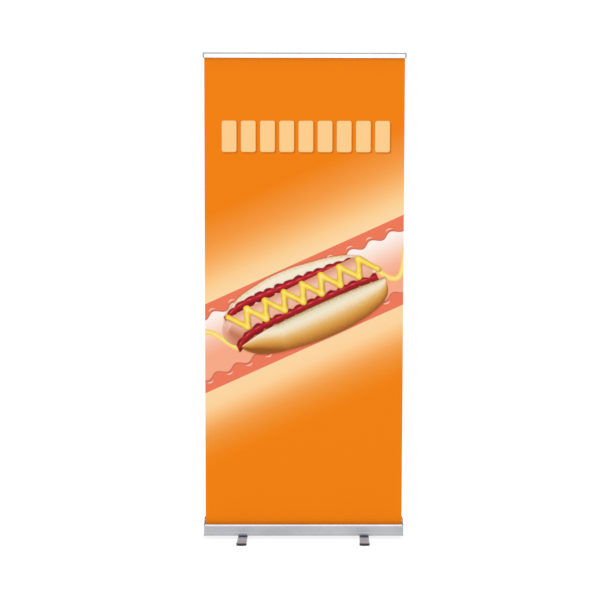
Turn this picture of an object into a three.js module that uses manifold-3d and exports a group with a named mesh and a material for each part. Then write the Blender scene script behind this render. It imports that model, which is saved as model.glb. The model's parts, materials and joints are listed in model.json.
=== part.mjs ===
// Roll-up banner stand for a print 850 mm wide, in millimetres.
// +Z is up, the print faces -Y, and the origin is on the floor, midway between the two feet.

import * as THREE from 'three';
import { mergeVertices } from 'three/addons/utils/BufferGeometryUtils.js';
import Module from 'manifold-3d';

// ---------------------------------------------------------------- driving sizes

// Fits
const fit = 0.3; // gap between pieces that touch
const runningFit = 0.5; // gap between pieces that slide or turn

// Film
const filmWidth = 850;
const printHeight = 2000; // what shows between the cassette's lip and the top rail
const filmThickness = 0.4;
const filmHeld = 15; // length held in the top rail

// Cassette, an aluminium extrusion closed by a plastic cap at each end
const cassetteDepth = 90;
const cassetteBottom = 15.5; // above the floor
const wall = 1.5;
const lipTop = 68; // front lip, above the floor
const lipWidth = 13;
const nestWidth = 20; // channel that the top rail rests in when the film is wound up
const nestFloor = 60; // above the floor
const humpTop = 84; // housing behind the channel, above the floor
const slotWidth = 5;
const lipRadius = 10;
const lipInnerRadius = 2.5;
const frontFootRadius = 12; // rounding between the front and the underside
const backFootRadius = 5;
const humpFrontRadius = 11;
const humpBackRadius = 12;
const nestRadius = 1;
const guardThickness = 0.9;
const guardReach = 3.6; // how far a slot guard covers the slot's edge
const faceShort = 0.5; // the front face ends this far inside the caps' outer faces

// End caps and their screws
const capSideGap = 3; // from the film's edge to the end cap
const capThickness = 3;
const capProud = 0.7; // how far a cap stands over the extrusion
const capBossRadius = 9;
const screwShankRadius = 1.3;
const screwLength = 16;
const screwHeadRadius = 3.2;
const screwHeadHeight = 1.2;
const bossWall = 1.9;

// Roller and its spring
const rollerRadius = 15;
const rollerWall = 1.5;
const rollerHeight = 39.3; // axis above the floor
const woundThickness = 0.9; // wraps of film that never leave the roller
const plugFlange = 1.2;
const plugLength = 22;
const axleRadius = 3;
const axleLength = 24;
const axleHeadRadius = 5;
const axleHeadHeight = 1.3;
const arborSide = 7;
const springLength = 200;
const springRadius = 8;
const springWire = 1.4;
const springTurns = 18;
const springStepsPerTurn = 10;
const anchorLength = 15;

// Pole: tubes 0, 1 and 2 from the bottom up
const poleSetback = 25; // pole axis from the cassette's back
const tubeRadii = [10, 8.5, 7];
const tubeWall = 1.2;
const socketDepth = 22;
const socketWall = 1.4;
const socketFloor = 2;
const socketFlangeRadius = 13;
const socketFlangeHeight = 2.2;
const polePlugHeight = 8;
const polePlugFlange = 1.2;
const tubeOverlap = 70; // how much of a tube stays in the one below it
const parkGap = 2; // left between two locks with the pole shortened
const lockBelow = 18; // a lock's reach below the end of its tube
const lockAbove = 14; // and above it
const lockWall = 2.3;
const colletWall = 1.6;
const colletSlit = 1.6;
const headBelowRail = 22; // bottom of the pole's head, below the rail's bottom edge
const headSleeveHeight = 32;
const headWall = 2.5;
const headRoof = 4;
const headArmWidth = 14;
const headArmHeight = 18;

// Top rail
const railHeight = 22;
const railWall = 1.5;
const railFront = 7.3; // clamp strip's face, ahead of the film
const hookGroove = 5;
const hookLegHeight = 13;
const tongueThickness = 4;
const beadRadius = 1.7;
const beadAhead = 4.2; // hinge bead's axis, ahead of the film
const beadDrop = 3.4; // and below the rail's top
const ringWall = 1.4; // socket ring round the bead
const neckThickness = 1.2; // between the bead and the strip's shoulder
const shoulderDrop = 4.5; // top of the shoulder, below the bead's axis
const railPegLength = 10;
const railCapThickness = 6;

// Feet
const footSpacing = 528;
const footLength = 300;
const footWidth = 40;
const footBarBottom = 1.5;
const footBarHeight = 8;
const footBarWall = 1.5;
const footTurns = { left: -1, right: -2 }; // degrees, from square to the cassette
const footCapWall = 1.2;
const footCapReach = 14; // how far a cap goes along the bar's end
const footCapCrown = 7; // how far a cap's round end stands out at its middle
const rivetRadius = 4;
const rivetHeadRadius = 7;
const rivetHeadHeight = 2.2;
const rivetTailHeight = 1.2; // inside the cassette, under the roller
const washerRadius = 12;

const roundSides = 32;
const arcStep = Math.PI / 12;

// ---------------------------------------------------------------- derived places

const front = -cassetteDepth / 2;
const back = cassetteDepth / 2;
const nestFront = front + lipWidth;
const nestBack = nestFront + nestWidth;
const filmY = (nestFront + nestBack) / 2;
const capInner = filmWidth / 2 + capSideGap;
const capOuter = capInner + capThickness;
const railBottom = lipTop + printHeight;
const railTop = railBottom + railHeight;
const halfFilmGap = filmThickness / 2 + fit;
const railBack = halfFilmGap + railWall + hookGroove + railWall; // behind the film
const woundRadius = rollerRadius + fit + woundThickness;
const rollerY = filmY + filmThickness / 2 + runningFit + woundRadius;
const poleY = back - poleSetback;
const poleBottom = humpTop - socketDepth + fit;
const socketHoleRadius = tubeRadii[0] + fit + socketWall + fit;
const humpFrontRound = Math.min(humpFrontRadius, poleY - socketHoleRadius - nestBack);
const headBottom = railBottom - headBelowRail;
const lockStack = 2 * (lockAbove + parkGap) + lockBelow;
const poleSpare = polePlugHeight + parkGap + tubeOverlap + lockStack;
const stageTravel = (headBottom - poleBottom - poleSpare) / 3;
const tubeTops = [poleBottom + polePlugHeight + parkGap + stageTravel + tubeOverlap];
tubeTops.push(tubeTops[0] + lockAbove + parkGap + stageTravel + lockBelow);
tubeTops.push(headBottom + headSleeveHeight - headRoof - fit);
const tubeBottoms = [
  poleBottom + polePlugFlange + fit,
  tubeTops[0] - tubeOverlap,
  tubeTops[1] - tubeOverlap,
];

// ---------------------------------------------------------------- materials

function finish(colour, roughness, metalness) {
  return () => new THREE.MeshStandardMaterial({ color: colour, roughness, metalness });
}
const aluminium = finish(0xb6b8bd, 0.35, 0.9);
const steel = finish(0x9a9da1, 0.3, 0.95);
const blackPlastic = finish(0x17181b, 0.45, 0);
const greyPlastic = finish(0x8d9095, 0.45, 0);
const paleNylon = finish(0xe4e2da, 0.5, 0);
const print = finish(0xf08208, 0.5, 0);

// ---------------------------------------------------------------- making solids

const wasm = await Module();
wasm.setup();

// A closed geometry as a solid for joining and cutting, turned the right way out.
function solid(geometry) {
  const bare = geometry.index ? geometry.toNonIndexed() : geometry.clone();
  bare.deleteAttribute('normal');
  bare.deleteAttribute('uv');
  const merged = mergeVertices(bare, 1e-4);
  const triVerts = new Uint32Array(merged.index.array);
  const vertProperties = merged.attributes.position.array;
  const made = new wasm.Manifold(new wasm.Mesh({ numProp: 3, vertProperties, triVerts }));
  if (made.volume() > 0) return made;
  for (let i = 0; i < triVerts.length; i += 3) triVerts.subarray(i + 1, i + 3).reverse();
  return new wasm.Manifold(new wasm.Mesh({ numProp: 3, vertProperties, triVerts }));
}

// A solid as a geometry that three.js can show.
function geometryOf(made) {
  const mesh = made.getMesh();
  const geometry = new THREE.BufferGeometry();
  geometry.setAttribute('position', new THREE.BufferAttribute(mesh.vertProperties, 3));
  geometry.setIndex(new THREE.BufferAttribute(mesh.triVerts, 1));
  const flat = geometry.toNonIndexed();
  flat.computeVertexNormals();
  return flat;
}

function join(...solids) {
  return solids.reduce((whole, next) => whole.add(next));
}

function cut(whole, ...tools) {
  return tools.reduce((rest, tool) => rest.subtract(tool), whole);
}

function part(name, made, material) {
  const mesh = new THREE.Mesh(geometryOf(made), material());
  mesh.name = name;
  return mesh;
}

// Box from its two corners, each [x, y, z].
function block(low, high) {
  const size = high.map((value, i) => value - low[i]);
  const geometry = new THREE.BoxGeometry(...size);
  geometry.translate(...low.map((value, i) => value + size[i] / 2));
  return solid(geometry);
}

// Body of revolution about Z, from a closed profile of [radius, z] points.
function turned(profile, sides = roundSides) {
  const points = [...profile, profile[0]].map(([radius, z]) => new THREE.Vector2(radius, z));
  const geometry = new THREE.LatheGeometry(points, sides);
  geometry.rotateX(Math.PI / 2);
  return solid(geometry);
}

function rod(radius, bottom, top, sides = roundSides) {
  return turned([[0, bottom], [radius, bottom], [radius, top], [0, top]], sides);
}

function pipe(outer, inner, bottom, top, sides = roundSides) {
  return turned([[inner, bottom], [outer, bottom], [outer, top], [inner, top]], sides);
}

// Turns a solid made about Z so that its +Z points along +X (side 1) or -X (side -1).
function sideways(made, side) {
  const geometry = geometryOf(made);
  geometry.rotateY(side * Math.PI / 2);
  return solid(geometry);
}

function moved(made, x, y, z) {
  const geometry = geometryOf(made);
  geometry.translate(x, y, z);
  return solid(geometry);
}

// Extrudes an outline of [y, z] points along X, between two ends.
function alongX(outline, start, end) {
  const shape = new THREE.Shape(outline.map(([y, z]) => new THREE.Vector2(y, z)));
  const geometry = new THREE.ExtrudeGeometry(shape, { depth: end - start, bevelEnabled: false });
  const axes = [[0, 1, 0], [0, 0, 1], [1, 0, 0]].map((axis) => new THREE.Vector3(...axis));
  geometry.applyMatrix4(new THREE.Matrix4().makeBasis(...axes));
  geometry.translate(start, 0, 0);
  return solid(geometry);
}

// Points of an arc about [y, z], the end points among them.
function arc([y, z], radius, from, to) {
  const steps = Math.max(1, Math.ceil(Math.abs(to - from) / arcStep));
  return Array.from({ length: steps + 1 }, (_, i) => {
    const angle = from + (to - from) * i / steps;
    return [y + radius * Math.cos(angle), z + radius * Math.sin(angle)];
  });
}

// A line through corners [y, z, radius], each rounded to its radius, and moved to the left by inset.
function rounded(corners, inset = 0, closed = false) {
  const at = (i) => corners[(i + corners.length) % corners.length];
  const heading = (from, to) => Math.atan2(to[1] - from[1], to[0] - from[0]);
  const shifted = ([y, z], angle) => [y - inset * Math.sin(angle), z + inset * Math.cos(angle)];
  return corners.flatMap((corner, i) => {
    const isStart = !closed && i === 0;
    const isEnd = !closed && i === corners.length - 1;
    if (isStart) return [shifted(corner, heading(corner, at(1)))];
    if (isEnd) return [shifted(corner, heading(at(i - 1), corner))];
    const before = heading(at(i - 1), corner);
    let turn = heading(corner, at(i + 1)) - before;
    turn = Math.atan2(Math.sin(turn), Math.cos(turn));
    const side = Math.sign(turn);
    const radius = corner[2] ?? 0;
    const reach = radius * Math.tan(Math.abs(turn) / 2);
    const start = [corner[0] - reach * Math.cos(before), corner[1] - reach * Math.sin(before)];
    const middle = [start[0] - side * radius * Math.sin(before), start[1] + side * radius * Math.cos(before)];
    const first = before - side * Math.PI / 2;
    if (radius - side * inset > 0.01) return arc(middle, radius - side * inset, first, first + turn);
    const spread = inset / Math.cos(turn / 2);
    const bisector = before + turn / 2;
    return [[corner[0] - spread * Math.sin(bisector), corner[1] + spread * Math.cos(bisector)]];
  });
}

// A sheet wall of even thickness along rounded corners; its other face is to the left of them.
function sheetWall(corners, thickness) {
  return [...rounded(corners), ...rounded(corners, thickness).reverse()];
}

// ---------------------------------------------------------------- cassette

const lipFrontRadius = Math.min(lipRadius, lipWidth - lipInnerRadius - fit);
const floorTop = cassetteBottom + wall;
const bossInner = screwShankRadius + fit;
const bossOuter = bossInner + bossWall;

// Where the cap screws' channel sits in a rounded corner: corner, its radius, and which way it opens.
function cornerBoss([y, z, radius], towardY, towardZ) {
  const slide = Math.max(0, radius - wall - bossOuter + fit);
  const diagonal = slide * Math.SQRT1_2;
  return [y + towardY * (radius - diagonal), z + towardZ * (radius - diagonal)];
}

const bosses = [
  cornerBoss([front, cassetteBottom, frontFootRadius], 1, 1),
  cornerBoss([back, cassetteBottom, backFootRadius], -1, 1),
  cornerBoss([nestBack, humpTop, humpFrontRound], 1, -1),
];

function cassetteShell() {
  const corners = [
    [filmY - slotWidth / 2, nestFloor],
    [nestFront, nestFloor, nestRadius],
    [nestFront, lipTop, lipInnerRadius],
    [front, lipTop, lipFrontRadius],
    [front, cassetteBottom, frontFootRadius],
    [back, cassetteBottom, backFootRadius],
    [back, humpTop, humpBackRadius],
    [nestBack, humpTop, humpFrontRound],
    [nestBack, nestFloor, nestRadius],
    [filmY + slotWidth / 2, nestFloor],
  ];
  const end = capInner - fit;
  const faceEnd = capOuter - faceShort;
  const shell = alongX(sheetWall(corners, wall), -faceEnd, faceEnd);
  const lengthwise = (radius, half, sides) =>
    bosses.map(([y, z]) => moved(sideways(rod(radius, -half, half, sides), 1), 0, y, z));
  const channels = lengthwise(bossOuter, end, 24);
  const screwBores = lengthwise(bossInner, faceEnd, 16);
  const behindFace = [front + wall, back + 1, cassetteBottom - 1, humpTop + 1];
  const endCuts = [-1, 1].map((side) => {
    const [near, far] = [side * end, side * (faceEnd + 1)].sort((a, b) => a - b);
    return block([near, behindFace[0], behindFace[2]], [far, behindFace[1], behindFace[3]]);
  });
  const rivetBores = [-1, 1].map((side) =>
    moved(rod(rivetRadius + fit, cassetteBottom - 1, floorTop + 1), side * footSpacing / 2, 0, 0));
  const socketHole = rod(socketHoleRadius, humpTop - socketDepth - socketFloor - fit, humpTop + 1);
  const holes = [...screwBores, ...rivetBores, moved(socketHole, 0, poleY, 0)];
  return cut(join(shell, ...channels), ...endCuts, ...holes);
}

// Edge guard of the slot: side -1 is the front edge, 1 the back edge.
function slotGuard(side) {
  const edge = filmY + side * slotWidth / 2;
  const tip = edge - side * (fit + guardThickness);
  const root = edge + side * guardReach;
  const clip = [nestFloor - wall - fit - guardThickness, nestFloor + fit + guardThickness];
  const [low, high] = [tip, root].sort((a, b) => a - b);
  const body = block([-filmWidth / 2, low, clip[0]], [filmWidth / 2, high, clip[1]]);
  const [grooveLow, grooveHigh] = [edge - side * fit, root + side].sort((a, b) => a - b);
  const groove = block(
    [-filmWidth, grooveLow, nestFloor - wall - fit],
    [filmWidth, grooveHigh, nestFloor + fit],
  );
  return cut(body, groove);
}

function endCap(side) {
  const g = capProud;
  const faceInset = front + wall + fit;
  const corners = [
    [faceInset, cassetteBottom - g, frontFootRadius],
    [back + g, cassetteBottom - g, backFootRadius + g],
    [back + g, humpTop + g, humpBackRadius + g],
    [nestBack - g, humpTop + g, humpFrontRound + g],
    [nestBack - g, nestFloor + g, nestRadius],
    [nestFront + g, nestFloor + g, nestRadius],
    [nestFront + g, lipTop + g, lipInnerRadius + g],
    [faceInset, lipTop + g, lipFrontRadius - wall],
  ];
  const [near, far] = [side * capInner, side * capOuter].sort((a, b) => a - b);
  const plate = alongX(rounded(corners, 0, true), near, far);
  const bossFace = filmWidth / 2 + fit + plugFlange + fit;
  const boss = sideways(rod(capBossRadius, bossFace, capInner + 1), side);
  const outward = capOuter + 1;
  const screwHoles = bosses.map(([y, z]) => {
    const seat = capOuter - screwHeadHeight - fit;
    const hole = join(
      rod(screwShankRadius + fit, capInner - 1, outward, 16),
      rod(screwHeadRadius + fit, seat, outward, 20),
    );
    return moved(sideways(hole, side), 0, y, z);
  });
  const axleHole = side < 0
    ? sideways(join(
      rod(axleRadius + fit, bossFace - 1, outward),
      rod(axleHeadRadius + fit, capOuter - axleHeadHeight - fit, outward),
    ), side)
    : block(
      [bossFace - 1, -arborSide / 2 - fit, -arborSide / 2 - fit],
      [outward, arborSide / 2 + fit, arborSide / 2 + fit],
    );
  const body = join(plate, moved(boss, 0, rollerY, rollerHeight));
  return cut(body, ...screwHoles, moved(axleHole, 0, rollerY, rollerHeight));
}

function capScrew(side, [y, z]) {
  const headBottomX = capOuter - screwHeadHeight;
  const screw = join(
    rod(screwShankRadius, capOuter - screwLength, headBottomX + fit, 12),
    rod(screwHeadRadius, headBottomX, capOuter, 16),
  );
  return moved(sideways(screw, side), 0, y, z);
}

function poleSocket() {
  const bore = tubeRadii[0] + fit;
  const outer = bore + socketWall;
  const floor = humpTop - socketDepth;
  return turned([
    [0, floor - socketFloor],
    [outer, floor - socketFloor],
    [outer, humpTop + fit],
    [socketFlangeRadius, humpTop + fit],
    [socketFlangeRadius, humpTop + fit + socketFlangeHeight],
    [bore, humpTop + fit + socketFlangeHeight],
    [bore, floor],
    [0, floor],
  ]);
}

function buildCassette() {
  const group = new THREE.Group();
  group.add(part('cassette_shell', cassetteShell(), aluminium));
  group.add(part('slot_guard_front', slotGuard(-1), blackPlastic));
  group.add(part('slot_guard_back', slotGuard(1), blackPlastic));
  for (const [side, hand] of [[-1, 'left'], [1, 'right']]) {
    group.add(part(`end_cap_${hand}`, endCap(side), blackPlastic));
    bosses.forEach((place, i) => {
      group.add(part(`cap_screw_${hand}_${i + 1}`, capScrew(side, place), steel));
    });
  }
  const socket = part('pole_socket', poleSocket(), blackPlastic);
  socket.position.set(0, poleY, 0);
  group.add(socket);
  return group;
}

// ---------------------------------------------------------------- roller, along X about its own axis

const rollerBore = rollerRadius - rollerWall;
const arborCorner = arborSide * Math.SQRT1_2;
const rollerEnd = filmWidth / 2;
const springEnd = rollerEnd - plugLength - parkGap - springWire;
const springStart = springEnd - springLength;

function rollerPlug(bore) {
  return turned([
    [bore, rollerEnd - plugLength],
    [rollerBore - fit, rollerEnd - plugLength],
    [rollerBore - fit, rollerEnd + fit],
    [woundRadius, rollerEnd + fit],
    [woundRadius, rollerEnd + fit + plugFlange],
    [bore, rollerEnd + fit + plugFlange],
  ]);
}

function axlePin() {
  return join(
    rod(axleRadius, capOuter - axleLength, capOuter - axleHeadHeight + fit),
    rod(axleHeadRadius, capOuter - axleHeadHeight, capOuter),
  );
}

// Square shaft held by the right end cap; the spring turns round it.
function springArbor() {
  const half = arborSide / 2;
  return block([springStart - anchorLength, -half, -half], [capOuter - fit, half, half]);
}

class Helix extends THREE.Curve {
  getPoint(t, target = new THREE.Vector3()) {
    const angle = 2 * Math.PI * springTurns * t;
    return target.set(
      springStart + springLength * t,
      springRadius * Math.cos(angle),
      springRadius * Math.sin(angle),
    );
  }
}

function torsionSpring() {
  const wire = new THREE.Shape();
  wire.absarc(0, 0, springWire / 2, 0, 2 * Math.PI);
  const steps = springTurns * springStepsPerTurn;
  const options = { steps, curveSegments: 3, extrudePath: new Helix(), bevelEnabled: false };
  return solid(new THREE.ExtrudeGeometry(wire, options));
}

function springAnchor() {
  const end = springStart - springWire - fit;
  return sideways(pipe(rollerBore - fit, arborCorner + fit, end - anchorLength, end), 1);
}

function buildRoller() {
  const group = new THREE.Group();
  group.position.set(0, rollerY, rollerHeight);
  const tube = sideways(pipe(rollerRadius, rollerBore, -rollerEnd, rollerEnd), 1);
  const wound = sideways(pipe(woundRadius, rollerRadius + fit, -rollerEnd, rollerEnd), 1);
  group.add(part('roller_tube', tube, aluminium));
  group.add(part('wound_film', wound, print));
  group.add(part('roller_plug_left', sideways(rollerPlug(axleRadius + fit), -1), paleNylon));
  group.add(part('roller_plug_right', sideways(rollerPlug(arborCorner + fit), 1), paleNylon));
  group.add(part('axle_pin', sideways(axlePin(), -1), steel));
  group.add(part('spring_arbor', springArbor(), steel));
  group.add(part('torsion_spring', torsionSpring(), steel));
  group.add(part('spring_anchor', springAnchor(), paleNylon));
  return group;
}

// ---------------------------------------------------------------- pole, upright about its own axis

function polePlug() {
  const bore = tubeRadii[0] - tubeWall - fit;
  return join(
    rod(tubeRadii[0], poleBottom, poleBottom + polePlugFlange),
    rod(bore, poleBottom, poleBottom + polePlugHeight),
  );
}

function poleTube(i) {
  return pipe(tubeRadii[i], tubeRadii[i] - tubeWall, tubeBottoms[i], tubeTops[i]);
}

// Split sleeve round the end of tube i; it narrows above the end to grip the next tube.
function collet(i) {
  const top = tubeTops[i];
  const wide = tubeRadii[i] + fit;
  const narrow = tubeRadii[i + 1] + fit;
  const outer = wide + colletWall;
  const ring = turned([
    [wide, top - lockBelow + fit],
    [outer, top - lockBelow + fit],
    [outer, top + lockAbove - lockWall - fit],
    [narrow, top + lockAbove - lockWall - fit],
    [narrow, top + fit],
    [wide, top + fit],
  ]);
  const slit = block([0, -colletSlit / 2, top - lockBelow], [outer + 1, colletSlit / 2, top + lockAbove]);
  return cut(ring, slit);
}

function lockCollar(i) {
  const top = tubeTops[i];
  const bore = tubeRadii[i] + fit + colletWall + fit;
  const outer = bore + lockWall;
  const chamfer = lockWall / 2;
  return turned([
    [bore, top - lockBelow],
    [outer - chamfer, top - lockBelow],
    [outer, top - lockBelow + chamfer],
    [outer, top + lockAbove - chamfer],
    [outer - chamfer, top + lockAbove],
    [tubeRadii[i + 1] + fit, top + lockAbove],
    [tubeRadii[i + 1] + fit, top + lockAbove - lockWall],
    [bore, top + lockAbove - lockWall],
  ]);
}

// Cap on the top tube, with an arm forward to a tongue that stands in the rail's hook groove.
function poleHead() {
  const bore = tubeRadii[2] + fit;
  const outer = bore + headWall;
  const sleeveTop = headBottom + headSleeveHeight;
  const half = headArmWidth / 2;
  const grooveFront = filmY - poleY + railBack - railWall - hookGroove;
  const tongueFront = grooveFront + (hookGroove - tongueThickness) / 2;
  const armTop = headBottom + headArmHeight;
  const body = join(
    rod(outer, headBottom, sleeveTop),
    block([-half, tongueFront, headBottom], [half, -outer + headWall, armTop]),
    block([-half, tongueFront, headBottom], [half, tongueFront + tongueThickness, railTop - railWall - fit]),
  );
  return cut(body, rod(bore, headBottom - 1, sleeveTop - headRoof));
}

function buildPole() {
  const group = new THREE.Group();
  group.position.set(0, poleY, 0);
  group.add(part('pole_foot_plug', polePlug(), blackPlastic));
  ['lower', 'middle', 'upper'].forEach((name, i) => {
    group.add(part(`pole_tube_${name}`, poleTube(i), aluminium));
  });
  ['lower', 'upper'].forEach((name, i) => {
    group.add(part(`lock_collet_${name}`, collet(i), paleNylon));
    group.add(part(`lock_collar_${name}`, lockCollar(i), blackPlastic));
  });
  group.add(part('pole_head', poleHead(), blackPlastic));
  return group;
}

// ---------------------------------------------------------------- top rail
// Its own frame has y = 0 in the film's plane and z = 0 at the rail's bottom edge.

const bead = [-beadAhead, railHeight - beadDrop];
const ringInner = beadRadius + fit;
const ringOuter = ringInner + ringWall;
const degree = Math.PI / 180;

function railCarrier() {
  const end = filmWidth / 2;
  const slab = (low, high) => block([-end, ...low], [end, ...high]);
  const topUnder = railHeight - railWall;
  const ring = [
    ...arc(bead, ringOuter, -50 * degree, 200 * degree),
    ...arc(bead, ringInner, 200 * degree, -50 * degree),
  ];
  return join(
    slab([halfFilmGap, 0], [halfFilmGap + railWall, railHeight]),
    slab([bead[0], topUnder], [railBack, railHeight]),
    slab([railBack - railWall, railHeight - hookLegHeight], [railBack, railHeight]),
    alongX(ring, -end, end),
  );
}

// Strip that hangs from the bead and presses the film against the carrier.
function railClamp() {
  const end = filmWidth / 2;
  const neckHalf = neckThickness / 2;
  const shoulder = bead[1] - shoulderDrop - railWall;
  const slab = (low, high) => block([-end, ...low], [end, ...high]);
  return join(
    alongX(arc(bead, beadRadius, 0, 2 * Math.PI - arcStep), -end, end),
    slab([bead[0] - neckHalf, shoulder], [bead[0] + neckHalf, bead[1]]),
    slab([-railFront, shoulder], [bead[0] + neckHalf, shoulder + railWall]),
    slab([-railFront, 0], [-railFront + railWall, shoulder + railWall]),
    slab([-railFront, 0], [-halfFilmGap, railWall]),
  );
}

function railCap(side) {
  const inner = filmWidth / 2 + fit;
  const outer = filmWidth / 2 + railCapThickness;
  const capFront = Math.min(-railFront, bead[0] - ringOuter);
  const corners = [
    [capFront, 0, 1],
    [railBack, 0, 1],
    [railBack, railHeight, 1.5],
    [capFront, railHeight, 3],
  ];
  const [near, far] = [side * inner, side * outer].sort((a, b) => a - b);
  const plate = alongX(rounded(corners, 0, true), near, far);
  const grooveFront = railBack - railWall - hookGroove;
  const [pegNear, pegFar] = [side * (inner - railPegLength), side * (inner + 1)].sort((a, b) => a - b);
  const peg = block(
    [pegNear, grooveFront + fit, railHeight - hookLegHeight],
    [pegFar, grooveFront + hookGroove - fit, railHeight - railWall - fit],
  );
  return join(plate, peg);
}

function buildRail() {
  const group = new THREE.Group();
  group.position.set(0, filmY, railBottom);
  group.add(part('rail_carrier', railCarrier(), aluminium));
  group.add(part('rail_clamp', railClamp(), aluminium));
  group.add(part('rail_cap_left', railCap(-1), greyPlastic));
  group.add(part('rail_cap_right', railCap(1), greyPlastic));
  return group;
}

// The hanging film, straight down past the roller to just above the cassette's floor.
function buildFilm() {
  const bottom = floorTop + parkGap;
  const half = filmThickness / 2;
  const sheet = block([-filmWidth / 2, -half, bottom], [filmWidth / 2, half, railBottom + filmHeld]);
  const film = part('banner_film', sheet, print);
  film.position.y = filmY;
  return film;
}

// ---------------------------------------------------------------- feet, each about its rivet

const barHalf = footLength / 2 - footCapCrown - footCapWall;
const barTop = footBarBottom + footBarHeight;

function footBar() {
  const half = footWidth / 2;
  const under = barTop - footBarWall;
  const low = footBarBottom;
  const bar = block([-half, -barHalf, low], [half, barHalf, barTop]);
  const ribs = [-1, 1].map((side) => side * (rivetHeadRadius + runningFit + footBarWall / 2));
  const walls = [-half + footBarWall / 2, ...ribs, half - footBarWall / 2];
  const hollows = walls.slice(1).map((x, i) =>
    block([walls[i] + footBarWall / 2, -footLength, low - 1], [x - footBarWall / 2, footLength, under]));
  return cut(bar, ...hollows, rod(rivetRadius + fit, low, barTop + 1));
}

// End cap with a round nose flush with the bar's top; it holds the bar from below and between its ribs.
// End -1 is the front of the foot, 1 the back.
function footCap(end) {
  const half = footWidth / 2 + fit + footCapWall;
  const shoulderY = footLength / 2 - footCapCrown;
  const radius = (half ** 2 + footCapCrown ** 2) / (2 * footCapCrown);
  const reach = Math.asin(half / radius);
  const nose = arc([0, shoulderY - radius + footCapCrown], radius, Math.PI / 2 - reach, Math.PI / 2 + reach);
  const inner = barHalf - footCapReach;
  const outline = [[half, inner], ...nose, [-half, inner]];
  const shape = new THREE.Shape(outline.map(([x, y]) => new THREE.Vector2(x, y)));
  const body = solid(new THREE.ExtrudeGeometry(shape, { depth: barTop, bevelEnabled: false }));
  const pocket = block(
    [-footWidth / 2 - fit, inner - 1, footCapWall],
    [footWidth / 2 + fit, barHalf + fit, barTop + 1],
  );
  const tongueHalf = rivetHeadRadius + runningFit - fit;
  const tongue = block(
    [-tongueHalf, inner, footCapWall / 2],
    [tongueHalf, barHalf + 2 * fit, barTop - footBarWall - fit],
  );
  const made = geometryOf(join(cut(body, pocket), tongue));
  if (end < 0) made.rotateZ(Math.PI);
  return solid(made);
}

function footRivet() {
  const headTop = barTop - footBarWall - fit;
  const upper = floorTop + fit;
  return join(
    rod(rivetRadius, headTop - fit, upper + fit),
    rod(rivetHeadRadius, headTop - rivetHeadHeight, headTop),
    rod(rivetHeadRadius, upper, upper + rivetTailHeight),
  );
}

function footWasher() {
  return pipe(washerRadius, rivetRadius + fit, barTop + fit, cassetteBottom - fit);
}

function buildFoot(hand, side) {
  const group = new THREE.Group();
  group.position.x = side * footSpacing / 2;
  group.rotation.z = footTurns[hand] * degree;
  group.add(part(`${hand}_foot_bar`, footBar(), aluminium));
  group.add(part(`${hand}_foot_cap_front`, footCap(-1), blackPlastic));
  group.add(part(`${hand}_foot_cap_back`, footCap(1), blackPlastic));
  group.add(part(`${hand}_foot_rivet`, footRivet(), steel));
  group.add(part(`${hand}_foot_washer`, footWasher(), paleNylon));
  return group;
}

// ---------------------------------------------------------------- whole stand

const stand = new THREE.Group();
stand.add(buildCassette());
stand.add(buildRoller());
stand.add(buildPole());
stand.add(buildRail());
stand.add(buildFilm());
stand.add(buildFoot('left', -1));
stand.add(buildFoot('right', 1));

export default stand;
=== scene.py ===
# A roll-up banner stand: an aluminium floor cassette on two swing-out feet, a printed film pulled up
# from its spring roller, and a telescoping pole behind that holds the film's top rail.
# Metres, +Z up, the print faces -Y.

import json
from math import asin, atan2, cos, pi, radians, sin, sqrt

import bmesh
import bpy
from mathutils import Euler, Matrix, Vector

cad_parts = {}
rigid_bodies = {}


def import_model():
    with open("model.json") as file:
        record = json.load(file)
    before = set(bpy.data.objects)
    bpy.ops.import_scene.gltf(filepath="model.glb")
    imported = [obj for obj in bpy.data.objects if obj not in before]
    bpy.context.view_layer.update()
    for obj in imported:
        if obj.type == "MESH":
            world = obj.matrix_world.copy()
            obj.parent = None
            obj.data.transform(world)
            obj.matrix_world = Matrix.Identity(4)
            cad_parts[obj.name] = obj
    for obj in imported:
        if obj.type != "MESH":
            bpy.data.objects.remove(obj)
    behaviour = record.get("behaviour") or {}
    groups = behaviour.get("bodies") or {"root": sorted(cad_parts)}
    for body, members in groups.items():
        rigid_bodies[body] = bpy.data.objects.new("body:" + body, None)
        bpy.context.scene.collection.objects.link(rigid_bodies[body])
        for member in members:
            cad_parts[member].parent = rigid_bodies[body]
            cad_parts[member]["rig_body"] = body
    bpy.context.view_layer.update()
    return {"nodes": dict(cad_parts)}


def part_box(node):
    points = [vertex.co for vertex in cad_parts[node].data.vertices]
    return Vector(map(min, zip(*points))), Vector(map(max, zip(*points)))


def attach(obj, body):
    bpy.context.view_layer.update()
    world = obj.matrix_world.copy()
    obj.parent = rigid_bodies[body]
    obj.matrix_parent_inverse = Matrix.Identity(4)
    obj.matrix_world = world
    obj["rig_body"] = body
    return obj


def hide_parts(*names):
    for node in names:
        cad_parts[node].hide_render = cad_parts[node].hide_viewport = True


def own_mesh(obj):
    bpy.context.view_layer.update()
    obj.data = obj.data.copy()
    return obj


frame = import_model()
mm = 0.001
scene = bpy.context.scene

# ---------------------------------------- camera
# A short telephoto at chest height, six metres in front, turned slightly down.

lens = bpy.data.cameras.new("camera")
lens.lens = 85
lens.sensor_width = 36
lens.clip_end = 200
camera = bpy.data.objects.new("camera", lens)
scene.collection.objects.link(camera)
pitch, yaw, roll = radians(4.608), radians(0.391), radians(0.111)
turn = Euler((pi / 2 - pitch, 0, -yaw)).to_matrix() @ Matrix.Rotation(roll, 3, "Z")
camera.matrix_world = Matrix.Translation((-0.0591, -6.0778, 1.5287)) @ turn.to_4x4()
scene.camera = camera
scene.view_settings.view_transform = "Standard"

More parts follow.
